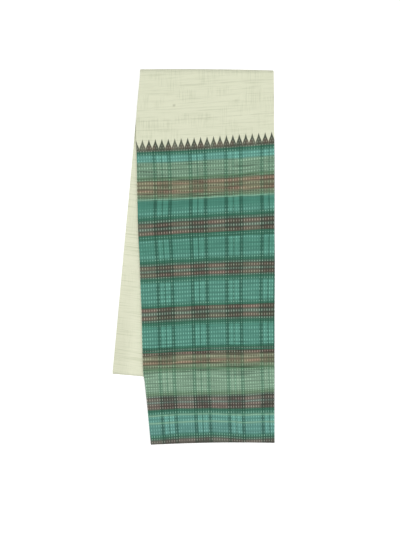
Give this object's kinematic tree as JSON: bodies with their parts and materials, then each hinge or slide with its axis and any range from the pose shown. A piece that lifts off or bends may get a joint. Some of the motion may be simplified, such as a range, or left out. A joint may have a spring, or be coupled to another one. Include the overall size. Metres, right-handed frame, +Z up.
{
  "type": "saree",
  "caption": "Handloom saree folded into a flat strip and once over, with a plain cream body, woven temple spikes and a wide checked border.",
  "frame": {"origin": "centre of the bounding box's footprint, on the table", "axes": "+Y along the folded strip, towards the fold; +X across it, to the right; +Z up from the table"},
  "size_m": [0.275, 0.6392, 0.0175],
  "materials": {
    "plain_cloth": "matt plain weave with fine slubs and a row of woven spikes",
    "inner_cloth": "matt plain weave with fine slubs, checked at the front end",
    "folded_cloth": "matt plain weave, checked at the front end",
    "checked_cloth": "matt dotted check weave"
  },
  "bodies": {
    "root": {"border_sheet": "checked_cloth", "body_sheet": "plain_cloth", "inner_sheet": "inner_cloth", "hidden_folds": "folded_cloth"}
  },
  "joints": []
}
